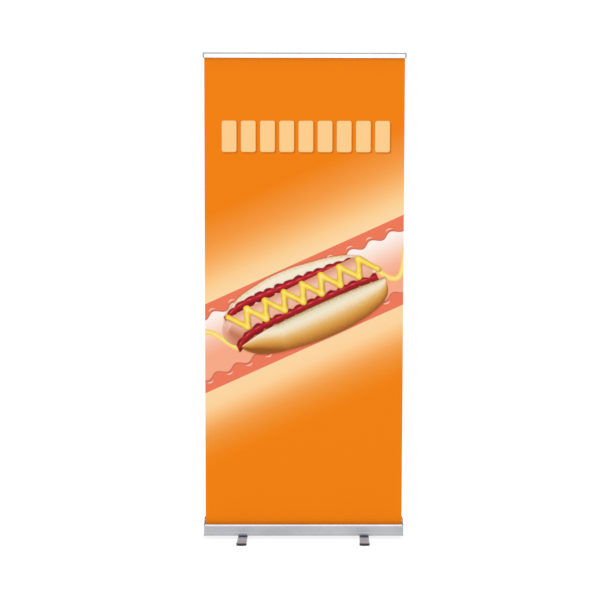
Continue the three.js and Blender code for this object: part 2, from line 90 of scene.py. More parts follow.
# ---------------------------------------- studio
# A white room with a wide soft light overhead and a tall softbox in front, which puts a bright streak
# on the rail and on the cassette's rounded lip. The floor is white acrylic, lit from below.


def linear(hex_colour):
    """The linear colour of an sRGB hex value such as "F18008"."""
    channels = [int(hex_colour[i:i + 2], 16) / 255 for i in (0, 2, 4)]
    return [c / 12.92 if c <= 0.04045 else ((c + 0.055) / 1.055) ** 2.4 for c in channels] + [1]


def node(tree, kind, links=None, **settings):
    """Adds a node with its settings. Links go by socket, each a value, a node or a node's output."""
    made = tree.nodes.new("ShaderNode" + kind)
    for name, value in settings.items():
        setattr(made, name, value)
    for socket, value in (links or {}).items():
        if isinstance(value, bpy.types.Node):
            value = value.outputs[0]
        if isinstance(value, bpy.types.NodeSocket):
            tree.links.new(value, made.inputs[socket])
        else:
            made.inputs[socket].default_value = value
    return made


def shades(tree, value, stops):
    """Colours by value: stops of (value, hex), from the lowest to the highest."""
    low, high = stops[0][0], stops[-1][0]
    share = node(tree, "MapRange", {"Value": value, "From Min": low, "From Max": high})
    ramp = node(tree, "ValToRGB", {"Fac": share})
    elements = ramp.color_ramp.elements
    for i, (at, hex_colour) in enumerate(stops):
        position = (at - low) / (high - low)
        stop = elements[i] if i < 2 else elements.new(position)
        stop.position = position
        stop.color = linear(hex_colour)
    return ramp


def coated(name, hex_colour, metallic, roughness, sockets=None):
    """A new material: itself, its node tree, its shader and the place that its patterns read."""
    made = bpy.data.materials.new(name)
    made.use_nodes = True
    tree = made.node_tree
    shader = tree.nodes["Principled BSDF"]
    plain = {"Base Color": linear(hex_colour), "Metallic": metallic, "Roughness": roughness}
    for socket, value in {**plain, **(sockets or {})}.items():
        shader.inputs[socket].default_value = value
    return made, tree, shader, node(tree, "TexCoord").outputs["Object"]


room = bpy.data.worlds.new("room")
room.use_nodes = True
scene.world = room
walls = room.node_tree.nodes["Background"]
walls.inputs["Color"].default_value = linear("FFFFFF")
walls.inputs["Strength"].default_value = 0.72
seen = node(room.node_tree, "Background", {"Color": linear("FFFFFF"), "Strength": 1.05})
ray = node(room.node_tree, "LightPath")
either = node(room.node_tree, "MixShader", {0: ray.outputs["Is Camera Ray"], 1: walls, 2: seen})
room.node_tree.links.new(either.outputs[0], room.node_tree.nodes["World Output"].inputs["Surface"])

overhead = bpy.data.lights.new("overhead", "SUN")
overhead.energy = 1.7
overhead.angle = radians(70)
overhead_place = bpy.data.objects.new("overhead", overhead)
overhead_place.rotation_euler = (radians(24), radians(8), 0)
scene.collection.objects.link(overhead_place)

softbox = bpy.data.lights.new("softbox", "AREA")
softbox.shape = "RECTANGLE"
softbox.size, softbox.size_y = 6, 3.4
softbox.energy = 90
softbox_place = bpy.data.objects.new("softbox", softbox)
softbox_place.location = (-0.4, -8, 3.4)
softbox_place.rotation_euler = (radians(76), 0, 0)
scene.collection.objects.link(softbox_place)

bpy.ops.object.select_all(action="DESELECT")
bpy.ops.mesh.primitive_plane_add(size=80, location=(0, 0, 0))
floor = bpy.context.object
floor.name = "floor"
acrylic, tree, shader, place = coated("white_acrylic", "808080", 0, 0.9, {
    "Emission Color": linear("FFFFFF"), "Emission Strength": 0.80, "Specular IOR Level": 0})
frost = node(tree, "TexNoise", {"Vector": place, "Scale": 220, "Detail": 3})
frosted = shades(tree, frost, [(0.3, "7D7D7D"), (0.7, "838383")])
tree.links.new(frosted.outputs[0], shader.inputs["Base Color"])
floor.data.materials.append(acrylic)

# ---------------------------------------- cassette housing
# An aluminium extrusion, 1.5 mm thick, natural anodised: matt silver with faint die lines along its
# length. It is open along the top for the film, with a channel in front where the top rail rests.


def close_up():
    """Leaves edit mode, with nothing selected."""
    if bpy.context.object and bpy.context.object.mode == "EDIT":
        bpy.ops.object.mode_set(mode="OBJECT")
    bpy.ops.object.select_all(action="DESELECT")


def select_all():
    bpy.ops.mesh.select_all(action="SELECT")


def begin(name, kind, **place):
    """Adds a primitive with nothing else selected, and opens it in edit mode, all selected."""
    close_up()
    getattr(bpy.ops.mesh, f"primitive_{kind}_add")(**place)
    piece = bpy.context.object
    piece.name = piece.data.name = name
    bpy.ops.object.transform_apply(location=True, rotation=True, scale=True)
    bpy.ops.object.mode_set(mode="EDIT")
    bpy.ops.mesh.select_mode(type="VERT")
    select_all()
    return piece


def select(kind, test):
    """In edit mode, selects the corners, edges or faces whose middle, and normal or direction, pass."""
    bpy.ops.mesh.select_mode(type=kind)
    bpy.ops.mesh.select_all(action="DESELECT")
    mesh = bmesh.from_edit_mesh(bpy.context.object.data)
    mesh.normal_update()
    if kind == "VERT":
        for corner in mesh.verts:
            corner.select_set(bool(test(corner.co, corner.normal)))
    elif kind == "EDGE":
        for edge in mesh.edges:
            a, b = (corner.co for corner in edge.verts)
            edge.select_set(bool(test((a + b) / 2, (b - a).normalized())))
    else:
        for face in mesh.faces:
            face.select_set(bool(test(face.calc_center_median(), face.normal)))
    mesh.select_flush_mode()
    bmesh.update_edit_mesh(bpy.context.object.data)


def extrude(move):
    bpy.ops.mesh.extrude_region_move(TRANSFORM_OT_translate={"value": move})


def near(a, b, reach=0.05 * mm):
    return abs(a - b) < reach


def face_outwards():
    select_all()
    bpy.ops.mesh.normals_make_consistent(inside=False)


def round_edges(y, z, radius, segments=6):
    """Rounds the edges along X that lie at (y, z)."""
    select("EDGE", lambda m, d: abs(d.x) > 0.9 and near(m.y, y) and near(m.z, z))
    bpy.ops.mesh.bevel(offset=radius, segments=segments, profile=0.5, affect="EDGES")


def modify(piece, kind, **settings):
    """Adds a modifier and applies it."""
    close_up()
    made = piece.modifiers.new(kind.lower(), kind)
    for name, value in settings.items():
        setattr(made, name, value)
    bpy.context.view_layer.objects.active = piece
    bpy.ops.object.modifier_apply(modifier=made.name)


def soften(piece, width, segments=2, angle=35):
    """Breaks the sharp edges, as a die, a mould or a deburring wheel leaves them."""
    modify(piece, "BEVEL", width=width, segments=segments, limit_method="ANGLE",
           angle_limit=radians(angle))


def combine(piece, other, operation="DIFFERENCE"):
    """Cuts another piece out of this one, or joins it on, and drops the other."""
    modify(piece, "BOOLEAN", operation=operation, solver="EXACT", object=other)
    bpy.data.objects.remove(other)


def drill(piece, place, radius, depth, sides=48, tilt=0):
    """Drills a round hole: along Z, or along X where it is tilted by a quarter turn."""
    combine(piece, begin("cutter", "cylinder", vertices=sides, radius=radius, depth=depth,
                         location=place, rotation=(0, tilt, 0)))


def finish(piece, body, slot, materials, *nodes, smooth=30):
    """Leaves the piece at the origin with its place in its mesh, and gives it its body and its finish."""
    close_up()
    piece.select_set(True)
    bpy.context.view_layer.objects.active = piece
    bpy.ops.object.mode_set(mode="EDIT")
    select_all()
    weld = 0.003 * mm
    bpy.ops.mesh.remove_doubles(threshold=weld)
    bpy.ops.mesh.dissolve_degenerate(threshold=weld)
    bpy.ops.mesh.delete_loose()
    face_outwards()
    close_up()
    piece.select_set(True)
    bpy.ops.object.transform_apply(location=True, rotation=True, scale=True)
    bpy.ops.object.shade_smooth_by_angle(angle=radians(smooth))
    modify(piece, "WEIGHTED_NORMAL", keep_sharp=True)
    for material in materials if isinstance(materials, list) else [materials]:
        if material.name not in piece.data.materials:
            piece.data.materials.append(material)
    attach(piece, body)
    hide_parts(*nodes)
    return piece


def varied(tree, shader, hex_colour, roughness, tones, gloss):
    """Spreads the colour by a pattern, and the roughness by another: tones are (pattern, from, to, darker,
    lighter) with the shifts in steps of 255, gloss is (pattern, smoother, rougher)."""
    pattern, low, high, *shifts = tones
    channels = [int(hex_colour[i:i + 2], 16) for i in (0, 2, 4)]
    dark, light = ("".join(f"{c + shift:02X}" for c in channels) for shift in shifts)
    colour = shades(tree, pattern, [(low, dark), (high, light)])
    tree.links.new(colour.outputs[0], shader.inputs["Base Color"])
    matt = node(tree, "MapRange", {
        "Value": gloss[0], "From Min": 0.3, "From Max": 0.7,
        "To Min": roughness - gloss[1], "To Max": roughness + gloss[2]})
    tree.links.new(matt.outputs[0], shader.inputs["Roughness"])


def anodised(name, along, hex_colour, roughness):
    """Natural anodised aluminium. Its die lines run along the bar, 0.3 mm apart, and are drawn about 1 mm
    apart, to show."""
    made, tree, shader, place = coated(name, hex_colour, 1.0, roughness)
    stretch = [1000, 1000, 1000]
    stretch["XYZ".index(along)] = 4
    run = node(tree, "Mapping", {"Vector": place, "Scale": stretch})
    lines = node(tree, "TexNoise", {"Vector": run, "Scale": 1, "Detail": 2, "Roughness": 0.6})
    cloud = node(tree, "TexNoise", {"Vector": place, "Scale": 9, "Detail": 4})
    both = node(tree, "Math", {0: lines, 1: cloud}, operation="ADD")
    varied(tree, shader, hex_colour, roughness, (both, 0.75, 1.25, -9, 7), (lines, 0.05, 0.06))
    relief = node(tree, "Bump", {"Height": lines, "Strength": 0.1, "Distance": 0.05 * mm})
    tree.links.new(relief.outputs[0], shader.inputs["Normal"])
    return made


housing_metal = anodised("anodised_aluminium_housing", "X", "B4B6BB", 0.42)

shell_low, shell_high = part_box("cassette_shell")
front, back, bottom, hump_top = shell_low.y, shell_high.y, shell_low.z, shell_high.z
film_low, film_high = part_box("banner_film")
film_y = (film_low.y + film_high.y) / 2
cap_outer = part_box("end_cap_right")[1].x
cap_thickness = 3 * mm
housing_end = cap_outer - cap_thickness - 0.3 * mm
wall = 1.5 * mm
print_height, held_in_rail = 2000 * mm, 15 * mm
lip_top = film_high.z - held_in_rail - print_height
nest_front, nest_back, nest_floor = front + 13 * mm, front + 33 * mm, 60 * mm
slot_half = 2.5 * mm

housing_line = [
    (film_y - slot_half, nest_floor),
    (nest_front, nest_floor),
    (nest_front, lip_top),
    (front, lip_top),
    (front, bottom + 21.0 * mm),
    (front + 0.9 * mm, bottom + 20.5 * mm),
    (front, bottom + 15.7 * mm),
    (front, bottom),
    (back, bottom),
    (back, hump_top),
    (nest_back, hump_top),
    (nest_back, nest_floor),
    (film_y + slot_half, nest_floor),
]
housing = begin("cassette_housing", "plane", size=2 * housing_end,
                location=(0, housing_line[0][0] + housing_end, housing_line[0][1]))
select("VERT", lambda co, n: co.y > 0)
bpy.ops.mesh.delete(type="VERT")
select_all()
for (y0, z0), (y1, z1) in zip(housing_line, housing_line[1:]):
    extrude((0, y1 - y0, z1 - z0))
for y, z, radius, segments in [
    (nest_front, nest_floor, 1.0 * mm, 3), (nest_front, lip_top, 2.5 * mm, 5), (front, lip_top, 10 * mm, 12),
    (front, bottom, 12 * mm, 12), (back, bottom, 5 * mm, 8), (back, hump_top, 12 * mm, 12),
    (nest_back, hump_top, 11 * mm, 12), (nest_back, nest_floor, 1.0 * mm, 3),
]:
    round_edges(y, z, radius, segments)
# The front face runs on over the edges of the end caps.
for side in (-1, 1):
    select("EDGE", lambda m, d: near(m.x, side * housing_end) and m.y < front + 1.4 * mm)
    extrude((side * (shell_high.x - housing_end), 0, 0))
select("FACE", lambda m, n: near(m.y, front) and abs(n.y) > 0.9)
if any(face.select and face.normal.y > 0 for face in bmesh.from_edit_mesh(housing.data).faces):
    select_all()
    bpy.ops.mesh.flip_normals()
modify(housing, "SOLIDIFY", thickness=wall, offset=-1, use_even_offset=True)

socket_low, socket_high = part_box("pole_socket")
pole_y = (socket_low.y + socket_high.y) / 2
drill(housing, (0, pole_y, hump_top), 12 * mm, 20 * mm, 64)
pivots = {}
for hand in ("left", "right"):
    low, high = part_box(f"{hand}_foot_rivet")
    pivots[hand] = Vector(((low.x + high.x) / 2, (low.y + high.y) / 2, 0))
    drill(housing, pivots[hand] + Vector((0, 0, bottom)), 4.3 * mm, 12 * mm)
soften(housing, 0.25 * mm)
finish(housing, "cassette", "anodised_aluminium", housing_metal, "cassette_shell")

# ---------------------------------------- slot guards
# Two black PVC edge strips pressed over the edges of the slot, so that the bare aluminium can't scratch
# the film as it is pulled out. A soft extrusion with a satin skin.


def moulded(name, hex_colour, roughness=0.45, grain_size=0.6 * mm):
    """Plastic from a spark-eroded mould or a die. The real grain is about 0.2 mm; it is drawn coarser, to
    show."""
    made, tree, shader, place = coated(name, hex_colour, 0, roughness, {"IOR": 1.53})
    grain = node(tree, "TexNoise", {"Vector": place, "Scale": 1 / grain_size, "Detail": 2})
    cloud = node(tree, "TexNoise", {"Vector": place, "Scale": 30, "Detail": 3})
    both = node(tree, "Math", {0: grain, 1: cloud}, operation="ADD")
    varied(tree, shader, hex_colour, roughness, (both, 0.75, 1.25, -5, 6), (cloud, 0.05, 0.08))
    relief = node(tree, "Bump", {"Height": grain, "Strength": 0.25, "Distance": 0.06 * mm})
    tree.links.new(relief.outputs[0], shader.inputs["Normal"])
    return made


guard_vinyl = moulded("black_vinyl_edging", "1A1B1D", 0.5)


def prism(name, outline, start, end):
    """A bar along X: its (y, z) outline is drawn corner by corner, filled, and drawn out to its length."""
    (y, z), size = outline[0], 2 * mm
    piece = begin(name, "plane", size=size,
                  location=(start + size / 2, y + size / 2, z))
    select("VERT", lambda co, n: co.x > start + size / 2 or co.y > y + size / 2)
    bpy.ops.mesh.delete(type="VERT")
    select_all()
    for (y0, z0), (y1, z1) in zip(outline, outline[1:]):
        extrude((0, y1 - y0, z1 - z0))
    select_all()
    bpy.ops.mesh.edge_face_add()
    extrude((end - start, 0, 0))
    face_outwards()
    return piece


for name, side in (("slot_guard_front", -1), ("slot_guard_back", 1)):
    low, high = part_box(name)
    lip, jaw = 0.9 * mm, 0.9 * mm
    tip, root = (high.y, low.y) if side < 0 else (low.y, high.y)
    inward = 1 if tip < root else -1
    guard = prism(name + "_strip", [
        (tip, low.z), (root, low.z), (root, low.z + jaw), (tip + inward * lip, low.z + jaw),
        (tip + inward * lip, high.z - jaw), (root, high.z - jaw), (root, high.z), (tip, high.z),
    ], low.x, high.x)
    soften(guard, 0.35 * mm, 3)
    finish(guard, "cassette", "black_plastic", guard_vinyl, name)

# ---------------------------------------- end caps
# Moulded ABS plates, black, that close the ends of the housing and carry the roller. The mould leaves a
# raised rim round a sunk, finely textured panel, and a counterbore for each screw.

cap_abs = moulded("black_abs", "101112")
cap_screws = {
    hand: [tuple((a + b) / 2 for a, b in zip(*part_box(f"cap_screw_{hand}_{i}"))) for i in (1, 2, 3)]
    for hand in ("left", "right")
}
roller_low, roller_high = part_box("roller_tube")
roller_y, roller_z = (roller_low.y + roller_high.y) / 2, (roller_low.z + roller_high.z) / 2
proud, rim, sunk = 0.7 * mm, 2.2 * mm, 0.6 * mm
screw_bore, axle_bore, arbor_square = 3.5 * mm, 5.3 * mm, 7.6 * mm
ledge, crest_top = nest_floor + proud, lip_top + proud
for side, hand in ((-1, "left"), (1, "right")):
    low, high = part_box(f"end_cap_{hand}")
    plate_middle = side * (cap_outer - cap_thickness / 2)
    cap = begin(f"end_cap_{hand}_moulding", "cube", size=1,
                location=(plate_middle, (low.y + high.y) / 2, (low.z + ledge) / 2),
                scale=(cap_thickness, high.y - low.y, ledge - low.z))
    nest = (nest_front + proud, nest_back - proud)
    for y in nest:
        select_all()
        bpy.ops.mesh.bisect(plane_co=(0, y, 0), plane_no=(0, 1, 0))
    select("FACE", lambda m, n: n.z > 0.9 and m.y < nest[0])
    extrude((0, 0, lip_top + proud - ledge))
    select("FACE", lambda m, n: n.z > 0.9 and m.y > nest[1])
    extrude((0, 0, high.z - ledge))
    face_outwards()
    for y, z, radius, segments in [
        (low.y, low.z, 12 * mm, 12), (high.y, low.z, 5.7 * mm, 8), (high.y, high.z, 12.7 * mm, 12),
        (nest[1], high.z, 11.7 * mm, 12), (nest[1], ledge, 1 * mm, 3), (nest[0], ledge, 1 * mm, 3),
        (nest[0], crest_top, 3.2 * mm, 6), (low.y, crest_top, 8.3 * mm, 10),
    ]:
        round_edges(y, z, radius, segments)
    # Where two of these arcs meet they leave edges of no length, which would hold the softening back.
    select_all()
    bpy.ops.mesh.remove_doubles(threshold=0.01 * mm)
    bpy.ops.mesh.dissolve_limited(angle_limit=radians(1))
    select("FACE", lambda m, n: side * n.x > 0.9)
    bpy.ops.mesh.inset(thickness=rim, depth=0)
    extrude((-side * sunk, 0, 0))
    # Softened before the holes are cut, while every edge is long enough to take the full width.
    soften(cap, 0.25 * mm)
    for x, y, z in cap_screws[hand]:
        drill(cap, (side * cap_outer, y, z), screw_bore, 3 * mm, 40, pi / 2)
    axis_end = (side * cap_outer, roller_y, roller_z)
    if hand == "left":
        drill(cap, axis_end, axle_bore, 3.2 * mm, 48, pi / 2)
    else:
        combine(cap, begin("cutter", "cube", size=arbor_square, location=axis_end))
    finish(cap, "cassette", "black_plastic", cap_abs, f"end_cap_{hand}")

# ---------------------------------------- cap screws
# Steel pan-head thread-forming screws with a cross recess, bright zinc plated. One is modelled, and
# the six copies are driven into the screw channels of the housing.


def in_mm(points):
    return [(a * mm, b * mm) for a, b in points]


def turned(name, profile, sides=48, closed=True, at_y=None):
    """A turned part about Z: a ring at the first (radius, height) is extruded and scaled to each next one.
    The ends are filled, or joined to each other where the part is a ring. at_y is where its axis goes."""
    radius, height = profile[0]
    piece = begin(name, "circle", vertices=sides, radius=radius, location=(0, 0, height))
    for (r0, z0), (r1, z1) in zip(profile, profile[1:]):
        extrude((0, 0, z1 - z0))
        bpy.ops.transform.resize(value=(r1 / r0, r1 / r0, 1), center_override=(0, 0, z1))
    bpy.ops.mesh.select_mode(type="EDGE")
    if closed:
        bpy.ops.mesh.edge_face_add()
    bpy.ops.mesh.select_all(action="DESELECT")
    bpy.ops.mesh.select_non_manifold(use_wire=False, use_multi_face=False,
                                     use_non_contiguous=False, use_verts=False)
    if closed:
        bpy.ops.mesh.edge_face_add()
    else:
        bpy.ops.mesh.bridge_edge_loops()
    face_outwards()
    if at_y is not None:
        bpy.ops.transform.translate(value=(0, at_y, 0))
    return piece


def copy_of(piece, name, move):
    """Another piece like this unfinished one, with its own mesh, moved by a matrix."""
    close_up()
    made = piece.copy()
    made.data = piece.data.copy()
    made.name = made.data.name = name
    scene.collection.objects.link(made)
    made.data.transform(move)
    return made


def zinc(name, hex_colour, roughness):
    """Bright zinc plating: a blue-white skin, clouded in patches a few millimetres across."""
    made, tree, shader, place = coated(name, hex_colour, 1.0, roughness)
    cloud = node(tree, "TexNoise", {"Vector": place, "Scale": 400, "Detail": 4})
    varied(tree, shader, hex_colour, roughness, (cloud, 0.3, 0.7, -18, 14), (cloud, 0.08, 0.12))
    return made


zinc_plate = zinc("zinc_plated_steel", "B4B9BF", 0.3)
screw = turned("cap_screw", in_mm([
    (1.1, -14.8), (1.3, -14.3), (1.3, 0), (3.2, 0), (3.2, 0.5), (3.0, 0.85), (2.5, 1.1), (1.6, 1.2)]), 32)
for across in ((3.4 * mm, 0.75 * mm), (0.75 * mm, 3.4 * mm)):
    combine(screw, begin("cutter", "cube", size=1, location=(0, 0, 1.1 * mm),
                         scale=(*across, 1.4 * mm)))
soften(screw, 0.08 * mm, 1, 50)
for side, hand in ((-1, "left"), (1, "right")):
    for i, (x, y, z) in enumerate(cap_screws[hand], 1):
        set_in = Matrix.Translation((side * (cap_outer - 1.2 * mm), y, z))
        set_in = set_in @ Matrix.Rotation(side * pi / 2, 4, "Y")
        one = copy_of(screw, f"cap_screw_{hand}_{i}_plated", set_in @ Matrix.Rotation(0.5 * i * side, 4, "Z"))
        finish(one, "cassette", "steel", zinc_plate, f"cap_screw_{hand}_{i}")
bpy.data.objects.remove(screw)

# ---------------------------------------- pole socket
# A moulded ABS cup let into the top of the housing, with a flange that spreads the pole's load. Its
# mouth is chamfered to guide the pole in.

socket = turned("pole_socket_cup", [
    (11.7 * mm, socket_low.z), (11.7 * mm, hump_top + 0.3 * mm), (13 * mm, hump_top + 0.3 * mm),
    (13 * mm, socket_high.z - 0.6 * mm), (12.4 * mm, socket_high.z), (11.3 * mm, socket_high.z),
    (10.3 * mm, socket_high.z - 1 * mm), (10.3 * mm, socket_low.z + 2 * mm)], 64, at_y=pole_y)
finish(socket, "cassette", "black_plastic", cap_abs, "pole_socket")

# ---------------------------------------- roller
# The roller, its plugs and its spring are inside the housing and hardly show, so their shapes stay as
# they are. Aluminium tube, natural nylon plugs, steel spring and pins, and the wraps of film on it.


def wear(name, *parts):
    """Gives parts that keep their shape a finish."""
    for part in parts:
        for slot_of_part in frame["nodes"][part].material_slots:
            slot_of_part.material = name


def nylon(name, hex_colour):
    """Unfilled nylon, off-white and slightly waxy: light enters it a little way before it comes back."""
    made = moulded(name, hex_colour, 0.42)
    inside = {"Subsurface Weight": 0.15, "Subsurface Scale": 1.5 * mm, "Subsurface Radius": (1, 0.9, 0.75)}
    for socket, value in inside.items():
        made.node_tree.nodes["Principled BSDF"].inputs[socket].default_value = value
    return made


natural_nylon = nylon("natural_nylon", "E3E1D8")
tube_metal = anodised("anodised_aluminium_tube", "X", "B9BBBF", 0.4)
spring_steel = zinc("oiled_spring_steel", "6F7174", 0.32)
wear(tube_metal, "roller_tube")
wear(natural_nylon, "roller_plug_left", "roller_plug_right", "spring_anchor")
wear(zinc_plate, "spring_arbor")
wear(spring_steel, "torsion_spring")
wear(cap_abs, "pole_foot_plug")
wear(natural_nylon, "lock_collet_lower", "lock_collet_upper")

low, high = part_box("axle_pin")
pin = turned("axle_pin_turned", in_mm([
    (2.6, 0), (3, 0.5), (3, 22.7), (5, 22.7), (5, 23.6), (4.6, 24), (1, 24), (0.6, 23.5)]))
close_up()
pin.data.transform(Matrix.Translation((high.x, roller_y, roller_z)) @ Matrix.Rotation(-pi / 2, 4, "Y"))
finish(pin, frame["nodes"]["axle_pin"]["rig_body"], "steel", zinc_plate, "axle_pin")

# ---------------------------------------- pole tubes
# Three drawn aluminium tubes, natural anodised, that slide in one another. Drawing leaves fine lines
# along each tube, and its cut end is deburred.

pole_metal = anodised("anodised_aluminium_pole", "Z", "BCBEC2", 0.36)
tube_wall, chamfer = 1.2 * mm, 0.3 * mm
for part in ("lower", "middle", "upper"):
    low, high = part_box(f"pole_tube_{part}")
    outer = (high.x - low.x) / 2
    inner = outer - tube_wall
    tube = turned(f"pole_tube_{part}_drawn", [
        (inner, low.z + chamfer), (inner + chamfer, low.z), (outer - chamfer, low.z),
        (outer, low.z + chamfer), (outer, high.z - chamfer), (outer - chamfer, high.z),
        (inner + chamfer, high.z), (inner, high.z - chamfer)], 64, closed=False, at_y=pole_y)
    finish(tube, f"pole_{part}", "anodised_aluminium", pole_metal, f"pole_tube_{part}")

# ---------------------------------------- twist locks
# A moulded ABS collar at each joint of the pole; a quarter turn squeezes the split nylon collet inside
# it on the next tube. Sunk flutes round the collar give the fingers a grip.

collar_sides = 96
for part, next_radius in (("lower", 8.5 * mm), ("upper", 7 * mm)):
    low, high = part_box(f"lock_collar_{part}")
    outer = (high.x - low.x) / 2
    bore, throat = outer - 2.3 * mm, next_radius + 0.3 * mm
    grip = (low.z + 3.2 * mm, high.z - 7 * mm)
    collar = turned(f"lock_collar_{part}_moulding", [
        (bore, low.z), (outer - 1 * mm, low.z), (outer, low.z + 1 * mm), (outer, grip[0]), (outer, grip[1]),
        (outer, high.z - 4.4 * mm), (outer - 0.5 * mm, high.z - 4.2 * mm),
        (outer - 0.5 * mm, high.z - 3.6 * mm), (outer, high.z - 3.4 * mm), (outer, high.z - 1.2 * mm),
        (outer - 1.2 * mm, high.z), (throat, high.z), (throat, high.z - 2.3 * mm),
        (bore, high.z - 2.3 * mm)], collar_sides, closed=False)
    step = 2 * pi / collar_sides
    select("FACE", lambda m, n: grip[0] < m.z < grip[1] and sqrt(m.x ** 2 + m.y ** 2) > outer - 0.5 * mm
           and int((atan2(m.y, m.x) + 2 * pi) / step) % 4 in (0, 1))
    bpy.ops.mesh.inset(thickness=0.25 * mm, depth=-0.7 * mm)
    select_all()
    bpy.ops.transform.translate(value=(0, pole_y, 0))
    soften(collar, 0.12 * mm, 1, 40)
    finish(collar, frame["nodes"][f"lock_collar_{part}"]["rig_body"], "black_plastic", cap_abs,
           f"lock_collar_{part}")

# ---------------------------------------- pole head
# One ABS moulding: a sleeve glued on the top tube, an arm forward with sunk webs in its sides, and a
# tongue that stands up in the groove behind the top rail.

low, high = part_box("pole_head")
sleeve_radius = 9.8 * mm
sleeve_top = low.z + 32 * mm
arm_top = low.z + 18 * mm
arm_back = pole_y - 4 * mm
tongue_back = low.y + 4 * mm
half_arm = 7 * mm
head = turned("pole_head_moulding", [
    (sleeve_radius - 0.6 * mm, low.z), (sleeve_radius, low.z + 0.6 * mm),
    (sleeve_radius, sleeve_top - 1.4 * mm), (sleeve_radius - 0.5 * mm, sleeve_top - 0.4 * mm),
    (sleeve_radius - 1.4 * mm, sleeve_top)], 64, at_y=pole_y)
arm = begin("pole_head_arm", "cube", size=1,
            location=(0, (low.y + arm_back) / 2, (low.z + arm_top) / 2),
            scale=(2 * half_arm, arm_back - low.y, arm_top - low.z))
bpy.ops.mesh.bisect(plane_co=(0, tongue_back, 0), plane_no=(0, 1, 0))
select("FACE", lambda m, n: n.z > 0.9 and m.y < tongue_back)
extrude((0, 0, high.z - arm_top))
select("FACE", lambda m, n: abs(n.x) > 0.9 and m.y > tongue_back)
bpy.ops.mesh.inset(thickness=2.4 * mm, depth=0, use_individual=True)
bpy.ops.mesh.inset(thickness=0.4 * mm, depth=-2.2 * mm, use_individual=True)
face_outwards()
soften(arm, 0.6 * mm, 3)
combine(head, arm, "UNION")
bore_depth = sleeve_top - 4 * mm - low.z
drill(head, (0, pole_y, low.z), 7.3 * mm, 2 * bore_depth, 64)
finish(head, "pole_upper", "black_plastic", cap_abs, "pole_head")

# ---------------------------------------- top rail
# Two aluminium extrusions, natural anodised: a carrier with a hook groove in its back, and a clamp
# strip hinged on a bead along the carrier's top, which snaps shut on the film.

# The carrier and the clamp are the same natural anodised aluminium. The carrier is coloured darker, as
# painted shade along the rail's top edge. The clamp is coloured lighter, as a painted highlight on the rail's
# face.
shaded_carrier_metal = anodised("anodised_aluminium_rail_carrier_painted_shade", "X", "8C8F95", 0.4)
lit_clamp_metal = anodised("anodised_aluminium_rail_clamp_painted_highlight", "X", "D4D6DB", 0.34)
rail_bottom, rail_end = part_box("rail_clamp")[0].z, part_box("rail_carrier")[1].x


def arc(centre, radius, start, end, steps=12):
    """Points of an arc about (y, z), from one angle to another in degrees."""
    return [(centre[0] + radius * cos(radians(start + (end - start) * i / steps)),
             centre[1] + radius * sin(radians(start + (end - start) * i / steps))) for i in range(steps + 1)]


def in_rail(points):
    """Places points given in mm from the film's plane and the rail's bottom edge."""
    return [(film_y + y * mm, rail_bottom + z * mm) for y, z in points]


bead = (-4.2, 18.6)
under_top = 20.5
carrier = prism("rail_carrier_extrusion", in_rail([
    (0.5, 0), (2, 0), (2, under_top), (7, under_top), (7, 9), (8.5, 9), (8.5, 22),
    *arc(bead, 3.4, 90, 200, 12), *arc(bead, 2.0, 200, -50, 24), *arc(bead, 3.4, -50, 34, 8),
    (0.5, under_top)]), -rail_end, rail_end)
soften(carrier, 0.2 * mm, 2)
finish(carrier, "top_rail", "anodised_aluminium", shaded_carrier_metal, "rail_carrier")

neck = (bead[0] - 0.6, bead[0] + 0.6)
bead_foot = bead[1] - sqrt(1.7 ** 2 - 0.6 ** 2)
clamp_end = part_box("rail_clamp")[1].x
clamp = prism("rail_clamp_extrusion", in_rail([
    (-7.3, 0), (-0.5, 0), (-0.5, 1.5), (-5.8, 1.5), (-5.8, 12.6), (neck[1], 12.6), (neck[1], bead_foot),
    *arc(bead, 1.7, -65, 245, 24), (neck[0], bead_foot), (neck[0], 14.1), (-7.3, 14.1)]),
              -clamp_end, clamp_end)
soften(clamp, 0.35 * mm, 3)
finish(clamp, "rail_clamp", "anodised_aluminium", lit_clamp_metal, "rail_clamp")

# ---------------------------------------- rail caps
# Moulded ABS, grey, pressed into the ends of the top rail so that its sawn edges can't cut the hand.
# Each has rounded corners and a chamfered face.

cap_grey = moulded("grey_abs", "8B8E93")
for side, hand in ((-1, "left"), (1, "right")):
    low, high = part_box(f"rail_cap_{hand}")
    plate_in, plate_out = side * (rail_end + 0.3 * mm), side * (cap_outer - 0.6 * mm)
    cap = begin(f"rail_cap_{hand}_moulding", "cube", size=1,
                location=((plate_in + plate_out) / 2, (low.y + high.y) / 2, (low.z + high.z) / 2),
                scale=(abs(plate_out - plate_in), high.y - low.y, high.z - low.z))
    for y, z, radius in ((low.y, low.z, 1), (high.y, low.z, 1), (high.y, high.z, 1.5), (low.y, high.z, 3)):
        round_edges(y, z, radius * mm, 6)
    select("FACE", lambda m, n: side * n.x > 0.9)
    bpy.ops.mesh.inset(thickness=0.9 * mm, depth=0.6 * mm)
    face_outwards()
    finish(cap, "top_rail", "grey_plastic", cap_grey, f"rail_cap_{hand}")

# ---------------------------------------- film
# Polyester banner film with an inkjet print under a satin laminate, grey on its back so that no light
# shows through. It hangs from the rail and runs down through the slot, almost flat under the spring's
# pull.

film_width, film_length = film_high.x - film_low.x, film_high.z - film_low.z
film_middle = Vector((0, film_y, (film_low.z + film_high.z) / 2))
film = begin("banner_film_sheet", "grid", x_subdivisions=48, y_subdivisions=112, size=1,
             rotation=(pi / 2, 0, 0), location=film_middle)
bpy.ops.transform.resize(value=(film_width, 1, film_length), center_override=film_middle)
